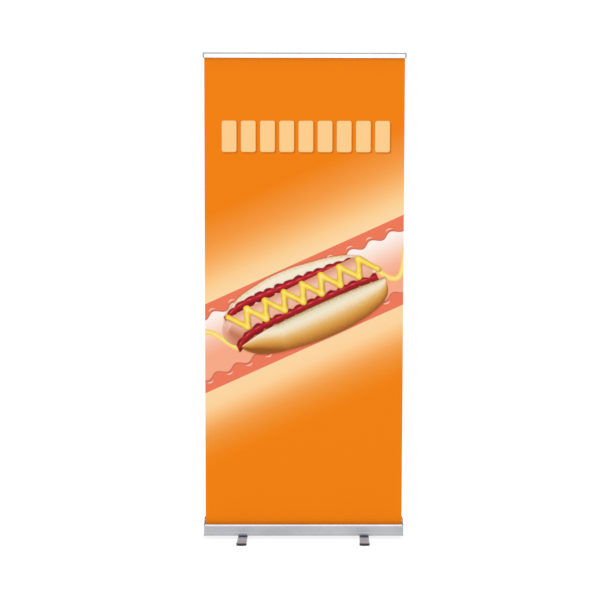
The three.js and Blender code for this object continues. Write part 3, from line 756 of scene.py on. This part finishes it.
# Almost flat: a slow wave of less than half a millimetre, and edges that curl by a millimetre at most.
cloth = bmesh.from_edit_mesh(film.data)
held = 150 * mm
for corner in cloth.verts:
    x, z = corner.co.x, corner.co.z
    free = max(0, min(1, (z - lip_top) / held, (rail_bottom - z) / held))
    free = free * free * (3 - 2 * free)
    wave = 0.3 * sin(9 * x + 1.3 * z) + 0.25 * sin(5.1 * z + 4 * x)
    curl = (abs(x) / film_high.x) ** 6 * sin(4.3 * z + x)
    corner.co.y += free * (wave + curl) * mm
bmesh.update_edit_mesh(film.data)

# The print: a warm orange ground that pales towards a slanting salmon band with a wavy-edged window, a
# row of plain rounded blocks above it, and a hot dog across the middle. It is drawn along the band,
# u to the right and up, v across it, from the middle of the film; the blocks go by x and z.
print_ink, tree, shader, place = coated("inkjet_print_under_satin_laminate", "F18008", 0, 0.42, {
    "Specular IOR Level": 0.05})
slant = radians(24.4)
print_middle = (0, 0, 1.0234)


def reach(place, start, end):
    """How far each point of the print is from the line between two (u, v) points."""
    (u0, v0), (u1, v1) = start, end
    along = Vector((u1 - u0, 0, v1 - v0))
    gone = node(tree, "VectorMath", {0: place, 1: (u0, 0, v0)}, operation="SUBTRACT")
    share = node(tree, "VectorMath", {0: gone, 1: along / along.length_squared}, operation="DOT_PRODUCT")
    held = node(tree, "Clamp", {"Value": share.outputs["Value"]})
    foot = node(tree, "VectorMath", {0: along, "Scale": held}, operation="SCALE")
    return node(tree, "VectorMath", {0: gone, 1: foot}, operation="DISTANCE").outputs["Value"]


def outline(points):
    """The v of a smooth outline at each u, through (u, v) points from left to right."""
    first, last = points[0][0], points[-1][0]
    share = node(tree, "MapRange", {"Value": u, "From Min": first, "From Max": last})
    curve = node(tree, "FloatCurve", {"Value": share})
    line = curve.mapping.curves[0]
    line.points[0].location = (0, points[0][1] + 0.5)
    line.points[1].location = (1, points[-1][1] + 0.5)
    for at, height in points[1:-1]:
        line.points.new((at - first) / (last - first), height + 0.5)
    curve.mapping.update()
    return node(tree, "Math", {0: curve, 1: 0.5}, operation="SUBTRACT")


def apart(value, other):
    """How far two values are from each other."""
    gap = node(tree, "Math", {0: value, 1: other}, operation="SUBTRACT")
    return node(tree, "Math", {0: gap}, operation="ABSOLUTE")


def ink(under, colour, distance, radius, blur=1.5 * mm, cover=1.0):
    """Lays a colour over the print where a distance is under a radius, with a soft edge."""
    edge = node(tree, "MapRange", {
        "Value": distance, "From Min": radius - blur / 2, "From Max": radius + blur / 2,
        "To Min": cover, "To Max": 0.0})
    colour = linear(colour) if isinstance(colour, str) else colour
    return node(tree, "MixRGB", {"Fac": edge, "Color1": under, "Color2": colour})


sheet = node(tree, "VectorMath", {0: place, 1: (1, 0, 1)}, operation="MULTIPLY")
drawing = node(tree, "Mapping", {"Vector": sheet, "Location": print_middle, "Rotation": (0, -slant, 0)},
               vector_type="TEXTURE")
axes = node(tree, "SeparateXYZ", {0: drawing})
u, v = axes.outputs["X"], axes.outputs["Z"]

# Ground and band.
picture = shades(tree, v, [
    (-0.48, "F18008"), (-0.44, "F18413"), (-0.40, "F18D28"), (-0.36, "F3973C"), (-0.32, "F5A859"),
    (-0.28, "FABF7D"), (-0.24, "FCD29B"), (-0.20, "FBD5A1"), (0.176, "FCD8A4"), (0.20, "FBD5A1"),
    (0.24, "FBCD90"), (0.28, "F9BE7A"), (0.32, "F7B064"), (0.36, "F5A24E"), (0.40, "F4973E"),
    (0.44, "F28F30"), (0.48, "F1871D"), (0.52, "F18008")])
picture = ink(picture, "EC7858", apart(v, -0.0015), 0.1755)

# The window in the band, with an outline, white flicks along it and a wide pale wave inside.
swell = node(tree, "Math", {0: u, 1: 68.0}, operation="MULTIPLY")
swell = node(tree, "Math", {0: v, 1: 12.0, 2: swell}, operation="MULTIPLY_ADD")
swell = node(tree, "Math", {0: swell}, operation="SINE")
ripple = node(tree, "Math", {0: swell, 1: 0.010, 2: 0.120}, operation="MULTIPLY_ADD")
off_window = node(tree, "Math", {0: v}, operation="ABSOLUTE")
off_window = node(tree, "Math", {0: off_window, 1: ripple}, operation="SUBTRACT")
picture = ink(picture, "C9705A", off_window, 0.0055)
blush = shades(tree, v, [
    (-0.04, "F6A987"), (0.0, "F6B79B"), (0.04, "F9CDB8"), (0.08, "FAE3D7"), (0.11, "FDEFE8")])
picture = ink(picture, blush, off_window, 0.0)
flick = node(tree, "Math", {0: swell, 1: -0.004, 2: apart(off_window, 0.014)}, operation="MULTIPLY_ADD")
picture = ink(picture, "FBE3D6", flick, -0.0018, 1.5 * mm, 0.85)
phase = node(tree, "Math", {0: u, 1: 26.0, 2: 0.4}, operation="MULTIPLY_ADD")
crest = node(tree, "Math", {0: phase}, operation="SINE")
fall = node(tree, "Math", {0: phase}, operation="COSINE")
fall = node(tree, "Math", {0: fall, 1: 1.6}, operation="MULTIPLY")
fall = node(tree, "Math", {0: fall, 1: fall, 2: 1.0}, operation="MULTIPLY_ADD")
fall = node(tree, "Math", {0: fall}, operation="SQRT")
off_wave = node(tree, "Math", {0: crest, 1: -0.062, 2: v}, operation="MULTIPLY_ADD")
off_wave = node(tree, "Math", {0: off_wave}, operation="ABSOLUTE")
off_wave = node(tree, "Math", {0: off_wave, 1: fall}, operation="DIVIDE")
pale_wave = shades(tree, off_wave, [(0.0, "FBE59A"), (0.007, "F9D468"), (0.012, "F6C558")])
picture = ink(picture, pale_wave, off_wave, 0.0115)

# The hot dog: the far half of the bun, ketchup, the sausage, ketchup, the near half, and mustard. The
# crumb's noise roughens the bun, and a slower one makes the sauces wander by up to 4 mm.
crumb = node(tree, "TexNoise", {"Vector": place, "Scale": 160.0, "Detail": 3.0})
uneven = node(tree, "TexNoise", {"Vector": place, "Scale": 26.0, "Detail": 1.0})
uneven = node(tree, "MapRange", {
    "Value": uneven, "From Min": 0.3, "From Max": 0.7, "To Min": -0.004, "To Max": 0.004})
bun_back = outline([
    (-0.350, 0.045), (-0.345, 0.071), (-0.267, 0.130), (-0.160, 0.157), (-0.034, 0.166), (0.118, 0.149),
    (0.204, 0.132), (0.276, 0.103), (0.317, 0.069), (0.340, 0.006), (0.342, -0.02)])
under_back = node(tree, "Math", {0: bun_back, 1: v}, operation="SUBTRACT")
bun_ends = node(tree, "Math", {0: u}, operation="ABSOLUTE")
bun_ends = node(tree, "Math", {0: bun_ends, 1: -0.344}, operation="ADD")
off_back = node(tree, "Math", {0: under_back, 1: -1.0}, operation="MULTIPLY")
off_back = node(tree, "Math", {0: off_back, 1: bun_ends}, operation="MAXIMUM")
off_back = node(tree, "Math", {0: off_back, 1: node(tree, "Math", {0: 0.0, 1: v}, operation="SUBTRACT")},
                operation="MAXIMUM")
picture = ink(picture, "B4573C", off_back, 0.004, 10 * mm, 0.5)
grain = node(tree, "Math", {0: crumb, 1: 0.03, 2: under_back}, operation="MULTIPLY_ADD")
bun_skin = shades(tree, grain, [(0.012, "D9B88A"), (0.020, "EBD7B4"), (0.035, "F4EAD5"), (0.06, "EFE3CC"),
                                (0.09, "DCC7A6")])
picture = ink(picture, bun_skin, off_back, 0.0)


def sauce(under, line, lobes, half, start, end, dark, light):
    """A bead of ketchup squeezed along a line in small lobes, dark with a wet light along its top."""
    lobe = node(tree, "Math", {0: u, 1: pi / lobes}, operation="MULTIPLY")
    lobe = node(tree, "Math", {0: lobe}, operation="SINE")
    lobe = node(tree, "Math", {0: lobe}, operation="ABSOLUTE")
    above = node(tree, "Math", {0: v, 1: line}, operation="SUBTRACT")
    off = node(tree, "Math", {0: above}, operation="ABSOLUTE")
    off = node(tree, "Math", {0: lobe, 1: -0.62 * half, 2: off}, operation="MULTIPLY_ADD")
    off = node(tree, "Math", {0: off, 1: uneven}, operation="ADD")
    past = apart(u, (start + end) / 2)
    past = node(tree, "Math", {0: past, 1: half - (end - start) / 2}, operation="ADD")
    off = node(tree, "Math", {0: off, 1: past, 2: 0.006}, operation="SMOOTH_MAX")
    body = shades(tree, above, [(-0.013, "7C0F18"), (-0.004, dark), (0.006, light), (0.014, "8E1420")])
    made = ink(under, "7A2A1E", off, half + 0.002, 5 * mm, 0.5)
    made = ink(made, body, off, half)
    wet = apart(above, 0.45 * half)
    wet = node(tree, "Math", {0: lobe, 1: -0.006, 2: wet}, operation="MULTIPLY_ADD")
    wet = node(tree, "Math", {0: wet, 1: past}, operation="MAXIMUM")
    return ink(made, "E8626A", wet, -0.0042, 2.5 * mm, 0.75)


ketchup_back = outline([
    (-0.335, 0.072), (-0.300, 0.092), (-0.239, 0.106), (-0.16, 0.106), (-0.016, 0.101), (0.1, 0.097),
    (0.176, 0.091), (0.25, 0.083), (0.315, 0.063)])
picture = sauce(picture, ketchup_back, 0.046, 0.0125, -0.337, 0.305, "A81622", "C72A35")

off_sausage = reach(drawing, (-0.304, 0.014), (0.262, 0.030))
skin_at = node(tree, "Math", {0: crumb, 1: 0.012, 2: v}, operation="MULTIPLY_ADD")
skin = shades(tree, skin_at, [(-0.050, "B5644A"), (-0.030, "D48B6A"), (-0.005, "E6A585"), (0.020, "EDB397"),
                              (0.060, "F2C3AB"), (0.095, "DB9478")])
picture = ink(picture, "7C2A20", off_sausage, 0.067, 8 * mm, 0.55)
picture = ink(picture, skin, off_sausage, 0.066)
tip = reach(drawing, (-0.345, 0.004), (-0.312, -0.044))
off_tip = node(tree, "Math", {0: off_sausage, 1: -0.016}, operation="ADD")
off_tip = node(tree, "Math", {0: tip, 1: off_tip}, operation="MAXIMUM")
picture = ink(picture, "BC6B48", off_tip, 0.036, 40 * mm, 0.85)
gleam = reach(drawing, (-0.348, 0.032), (-0.326, 0.050))
picture = ink(picture, "F7D6C6", gleam, 0.002, 14 * mm, 0.7)

ketchup_front = outline([
    (-0.360, -0.070), (-0.337, -0.060), (-0.296, -0.034), (-0.238, -0.018), (-0.1, -0.014),
    (0.1, -0.014), (0.296, -0.020), (0.350, -0.032)])
picture = sauce(picture, ketchup_front, 0.050, 0.0125, -0.338, 0.335, "A01420", "BE2430")

bun_front = outline([
    (-0.330, -0.036), (-0.322, -0.060), (-0.300, -0.090), (-0.242, -0.127), (-0.114, -0.157),
    (0.068, -0.173), (0.180, -0.166), (0.267, -0.149), (0.330, -0.120), (0.353, -0.090), (0.362, -0.040)])
bun_lip = outline([
    (-0.330, -0.058), (-0.300, -0.052), (-0.220, -0.038), (-0.05, -0.029), (0.2, -0.029), (0.362, -0.040)])
below_lip = node(tree, "Math", {0: v, 1: bun_lip}, operation="SUBTRACT")
above_foot = node(tree, "Math", {0: v, 1: bun_front}, operation="SUBTRACT")
off_front = node(tree, "Math", {0: above_foot, 1: -1.0}, operation="MULTIPLY")
off_front = node(tree, "Math", {0: off_front, 1: below_lip}, operation="MAXIMUM")
past_front = node(tree, "Math", {0: apart(u, 0.0155), 1: 0.345}, operation="SUBTRACT")
off_front = node(tree, "Math", {0: off_front, 1: past_front}, operation="MAXIMUM")
picture = ink(picture, "8A3A22", off_front, 0.005, 12 * mm, 0.55)
height = node(tree, "Math", {0: bun_lip, 1: bun_front}, operation="SUBTRACT")
height = node(tree, "Math", {0: height, 1: 0.02}, operation="MAXIMUM")
rise = node(tree, "Math", {0: above_foot, 1: height}, operation="DIVIDE")
rise = node(tree, "Math", {0: crumb, 1: 0.12, 2: rise}, operation="MULTIPLY_ADD")
baked = node(tree, "MapRange", {
    "Value": u, "From Min": -0.33, "From Max": -0.14, "To Min": 0.50, "To Max": 0.0})
rise = node(tree, "Math", {0: rise, 1: baked}, operation="SUBTRACT")
crust = shades(tree, rise, [
    (0.06, "96571F"), (0.14, "AD6C2C"), (0.26, "C9883A"), (0.40, "DBA350"), (0.54, "E6BC7E"),
    (0.66, "EFD8AE"), (0.80, "F1E6CE"), (0.94, "E7DABD"), (1.02, "CDB68C"), (1.06, "AF8C5C")])
picture = ink(picture, crust, off_front, 0.0)

# Mustard, one bend of it repeated along the sausage.
bend, bends, peak_after = 0.0873, 3, 0.0277
low, high = 0.010, 0.083
turns = node(tree, "Math", {0: u, 1: bend}, operation="DIVIDE")
turns = node(tree, "Math", {0: turns}, operation="ROUND")
turns = node(tree, "Clamp", {"Value": turns, "Min": -float(bends), "Max": float(bends)})
folded_u = node(tree, "Math", {0: turns, 1: -bend, 2: u}, operation="MULTIPLY_ADD")
folded = node(tree, "CombineXYZ", {0: folded_u, 2: v})
shadow_place = node(tree, "VectorMath", {0: folded, 1: (-0.003, 0, 0.007)}, operation="ADD")


def squeezed(place):
    """How far each point is from one bend of the mustard, with its corners rounded."""
    strokes = [reach(place, a, b) for a, b in (
        ((peak_after - bend, high), (0, low)), ((0, low), (peak_after, high)),
        ((peak_after, high), (bend, low)))]
    nearest = node(tree, "Math", {0: strokes[0], 1: strokes[1], 2: 0.018}, operation="SMOOTH_MIN")
    return node(tree, "Math", {0: nearest, 1: strokes[2], 2: 0.018}, operation="SMOOTH_MIN")


off_shadow, off_mustard = squeezed(shadow_place), squeezed(folded)
thick = node(tree, "Math", {0: uneven, 1: 0.5}, operation="MULTIPLY")
off_mustard = node(tree, "Math", {0: off_mustard, 1: thick}, operation="ADD")
picture = ink(picture, "8C4A22", off_shadow, 0.010, 11 * mm, 0.75)
paste = shades(tree, off_mustard, [
    (-0.002, "FBE890"), (0.003, "F8DB58"), (0.008, "EFC636"), (0.0125, "C4901E")])
picture = ink(picture, paste, off_mustard, 0.0112)

# Nine plain rounded blocks in a row, with a shadow to the lower right.
pitch, block_middle, block_half, corner = 81.5 * mm, (5.5 * mm, 1.738), (31 * mm, 66 * mm), 9 * mm
column = node(tree, "SeparateXYZ", {0: place})
column_x = node(tree, "Math", {0: column.outputs["X"], 1: block_middle[0]}, operation="SUBTRACT")
which = node(tree, "Math", {0: column_x, 1: pitch}, operation="DIVIDE")
which = node(tree, "Math", {0: which}, operation="ROUND")
which = node(tree, "Clamp", {"Value": which, "Min": -4.0, "Max": 4.0})
block_x = node(tree, "Math", {0: which, 1: -pitch, 2: column_x}, operation="MULTIPLY_ADD")
block_z = node(tree, "Math", {0: column.outputs["Z"], 1: block_middle[1]}, operation="SUBTRACT")
for shift, colour, radius, blur, cover in (
    (5 * mm, "B9590C", 0.010, 9 * mm, 0.75), (0.0, "D9852C", 0.0115, 1.5 * mm, 0.8),
    (0.0, "FCCD8C", 0.009, 1.2 * mm, 1.0),
):
    spot = node(tree, "CombineXYZ", {0: block_x, 2: block_z})
    spot = node(tree, "VectorMath", {0: spot, 1: (-shift, 0, shift)}, operation="ADD")
    spot = node(tree, "VectorMath", {0: spot}, operation="ABSOLUTE")
    spot = node(tree, "VectorMath", {0: spot, 1: (block_half[0] - corner, 0, block_half[1] - corner)},
                operation="SUBTRACT")
    spot = node(tree, "VectorMath", {0: spot, 1: (0, 0, 0)}, operation="MAXIMUM")
    off_block = node(tree, "VectorMath", {0: spot}, operation="LENGTH").outputs["Value"]
    picture = ink(picture, colour, off_block, radius, blur, cover)

# The droplets of ink are 0.04 mm; their grain is drawn about 2 mm coarse, to show.
droplets = node(tree, "TexNoise", {"Vector": place, "Scale": 500.0, "Detail": 2.0})
tone = shades(tree, droplets, [(0.3, "E5E5E5"), (0.7, "EDEDED")])
picture = node(tree, "MixRGB", {"Fac": 1.0, "Color1": picture, "Color2": tone}, blend_type="MULTIPLY")
tree.links.new(picture.outputs[0], shader.inputs["Base Color"])
# The laminate has a faint orange-peel skin, a few millimetres across.
peel = node(tree, "TexNoise", {"Vector": place, "Scale": 140.0, "Detail": 2.0})
satin = node(tree, "MapRange", {
    "Value": peel, "From Min": 0.3, "From Max": 0.7, "To Min": 0.38, "To Max": 0.48})
tree.links.new(satin.outputs[0], shader.inputs["Roughness"])
skin_relief = node(tree, "Bump", {"Height": peel, "Strength": 0.08, "Distance": 0.05 * mm})
tree.links.new(skin_relief.outputs[0], shader.inputs["Normal"])

film_back = moulded("grey_blockout_coating", "B9BBBE", 0.5, 1.2 * mm)
wear(film_back, "wound_film")
for material in (print_ink, film_back):
    film.data.materials.append(material)
modify(film, "SOLIDIFY", thickness=film_high.y - film_low.y, offset=0, material_offset=1,
       material_offset_rim=1)
finish(film, "top_rail", "printed_film", [print_ink, film_back], "banner_film")
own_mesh(film)

# ---------------------------------------- feet
# Two extruded aluminium bars, open below, each turning on a steel rivet through the cassette's floor
# with a nylon washer between. A moulded black shoe closes each end and stands the bar on the floor.

# Blasting leaves a dull grey skin that reflects little of the room, so it is only half metallic.
foot_metal = anodised("blasted_anodised_aluminium_foot", "Y", "A3A9B1", 0.7)
foot_metal.node_tree.nodes["Principled BSDF"].inputs["Metallic"].default_value = 0.5
foot_turns = {"left": radians(-1), "right": radians(-2)}
bar_top, bar_width, foot_length = 9.5 * mm, 40 * mm, 300 * mm
crown, shoe_wall, shoe_reach, gap = 7 * mm, 1.2 * mm, 14 * mm, 0.3 * mm
bar_half = foot_length / 2 - crown - shoe_wall

# The bar's section in mm, open below, with two ribs inside and two fine grooves along its top.
half, under, rib, rib_wall = 20, 8, 7.5, 1.5
comb = [
    (-half, 1.5), (-half + 1.5, 1.5), (-half + 1.5, under), (-rib - rib_wall, under), (-rib - rib_wall, 1.5),
    (-rib, 1.5), (-rib, under), (rib, under), (rib, 1.5), (rib + rib_wall, 1.5), (rib + rib_wall, under),
    (half - 1.5, under), (half - 1.5, 1.5), (half, 1.5), (half, 8.3), (half - 0.35, 9.15), (half - 1.2, 9.5),
    (9.3, 9.5), (8.7, 9.0), (8.1, 9.5), (-8.1, 9.5), (-8.7, 9.0), (-9.3, 9.5), (-half + 1.2, 9.5),
    (-half + 0.35, 9.15), (-half, 8.3)]
bar = prism("foot_bar", in_mm(comb), -bar_half, bar_half)
drill(bar, (0, 0, bar_top), 4.3 * mm, 20 * mm)
soften(bar, 0.2 * mm, 2)
bar.data.transform(Matrix.Rotation(pi / 2, 4, "Z"))

shoe_half = bar_width / 2 + gap + shoe_wall
shoulder = foot_length / 2 - crown
nose_radius = (shoe_half ** 2 + crown ** 2) / (2 * crown)
nose_reach = asin(shoe_half / nose_radius) * 180 / pi
inner = bar_half - shoe_reach
shoe = prism("foot_shoe", [
    (shoe_half, inner),
    *arc((0, shoulder - nose_radius + crown), nose_radius, 90 - nose_reach, 90 + nose_reach, 24),
    (-shoe_half, inner)], 0, bar_top)
close_up()
shoe.data.transform(Matrix(((0, 1, 0, 0), (0, 0, 1, 0), (1, 0, 0, 0), (0, 0, 0, 1))))
pocket_end = bar_half + gap
combine(shoe, begin("cutter", "cube", size=1,
                    location=(0, (inner - mm + pocket_end) / 2, (shoe_wall + bar_top + mm) / 2),
                    scale=(bar_width + 2 * gap, pocket_end - inner + mm, bar_top + mm - shoe_wall)))
tongue_top = under * mm - gap
combine(shoe, begin("tongue", "cube", size=1,
                    location=(0, (inner + pocket_end + gap) / 2, (0.6 * mm + tongue_top) / 2),
                    scale=(14.4 * mm, pocket_end + gap - inner, tongue_top - 0.6 * mm)), "UNION")
soften(shoe, 0.6 * mm, 3)

rivet = turned("foot_rivet", in_mm([
    (3.4, 5.5), (5.6, 5.8), (6.7, 6.5), (7, 7.7), (4, 7.7), (4, 17.3), (7, 17.3), (7, 17.9), (6.2, 18.5),
    (3, 18.5)]))
washer = turned("foot_washer", in_mm([
    (4.3, 9.8), (11.4, 9.8), (12, 10.4), (12, 12.1), (11.5, 12.3), (11.5, 12.7), (12, 12.9), (12, 14.6),
    (11.4, 15.2), (4.3, 15.2)]), 64, closed=False)
for hand in ("left", "right"):
    stance = Matrix.Translation(pivots[hand]) @ Matrix.Rotation(foot_turns[hand], 4, "Z")
    for pattern, part, made_how, turn_round, slot, material in (
        (bar, "bar", "extrusion", 0, "anodised_aluminium", foot_metal),
        (shoe, "cap_front", "moulding", pi, "black_plastic", cap_abs),
        (shoe, "cap_back", "moulding", 0, "black_plastic", cap_abs),
        (rivet, "rivet", "headed", 0, "steel", zinc_plate),
        (washer, "washer", "turned", 0, "pale_nylon", natural_nylon),
    ):
        cad_node = f"{hand}_foot_{part}"
        one = copy_of(pattern, f"{cad_node}_{made_how}", stance @ Matrix.Rotation(turn_round, 4, "Z"))
        finish(one, frame["nodes"][cad_node]["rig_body"], slot, material, cad_node)
for pattern in (bar, shoe, rivet, washer):
    bpy.data.objects.remove(pattern)
